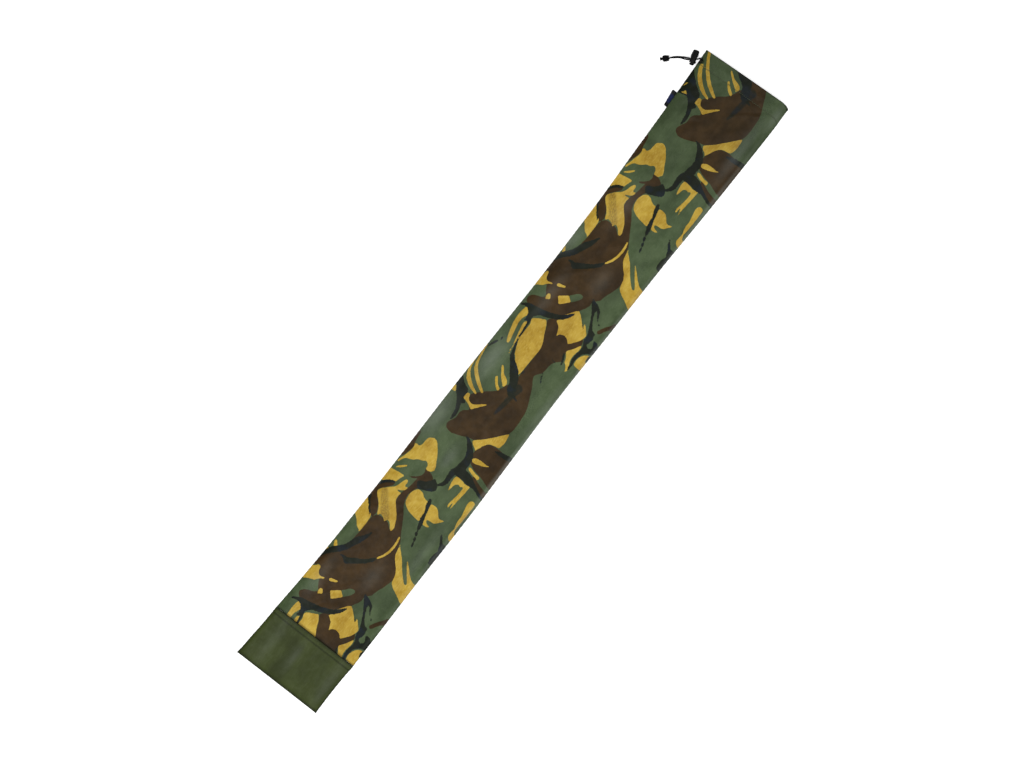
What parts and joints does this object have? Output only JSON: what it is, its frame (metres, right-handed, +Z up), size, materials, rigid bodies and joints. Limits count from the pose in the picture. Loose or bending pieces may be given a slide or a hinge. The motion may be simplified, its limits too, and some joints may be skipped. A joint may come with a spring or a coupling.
{
  "type": "drawcord storage sleeve",
  "caption": "Long flat camouflage cloth sleeve with a plain reinforced base, a drawcord in the turned hem at its mouth and a sprung cord lock.",
  "frame": {"origin": "middle of the underside of the sleeve, lying flat", "axes": "+X along the length towards the open mouth, +Y towards the side seam with the drawcord exit and label, +Z up through the thickness"},
  "size_m": [1.3078, 0.2275, 0.028],
  "materials": {
    "camo_cloth": "coated, low sheen, four-colour camouflage print",
    "olive_cloth": "coated, low sheen",
    "thread": "spun thread",
    "label_cloth": "satin woven",
    "black_cord": "braided",
    "black_plastic": "moulded",
    "spring_steel": "drawn wire"
  },
  "bodies": {
    "sleeve": {"camo_front_panel": "camo_cloth", "camo_back_panel": "camo_cloth", "front_hem_turning": "camo_cloth", "back_hem_turning": "camo_cloth", "base_front_panel": "olive_cloth", "base_back_panel": "olive_cloth", "left_seam_overlock": "thread", "right_seam_overlock": "thread", "bottom_seam_overlock": "thread", "front_hem_stitching": "thread", "back_hem_stitching": "thread", "front_base_topstitching": "thread", "back_base_topstitching": "thread", "woven_label": "label_cloth", "drawcord_loop": "black_cord"},
    "cord_tail": {"drawcord_upper_strand": "black_cord", "drawcord_lower_strand": "black_cord", "drawcord_knot": "black_cord"},
    "cord_lock": {"cord_lock_barrel": "black_plastic", "cord_lock_spring": "spring_steel"},
    "lock_button": {"cord_lock_plunger": "black_plastic"}
  },
  "joints": [
    {"name": "tail_swing", "type": "hinge", "parent": "sleeve", "child": "cord_tail", "pos_m": [0.6267, 0.0839, 0.0045], "axis": [0, 0, 1], "range_deg": [-35, 4], "deforming": ["drawcord_upper_strand", "drawcord_lower_strand"]},
    {"name": "lock_slide", "type": "slide", "parent": "cord_tail", "child": "cord_lock", "axis": [-0.5403, 0.8415, 0], "range_m": [0, 0.03], "deforming": ["drawcord_upper_strand", "drawcord_lower_strand"]},
    {"name": "button_press", "type": "slide", "parent": "cord_lock", "child": "lock_button", "axis": [0.96, 0.28, 0], "range_m": [0, 0.004], "stiffness_N_per_m": 500, "springref_m": -0.004, "deforming": ["cord_lock_spring"]}
  ]
}
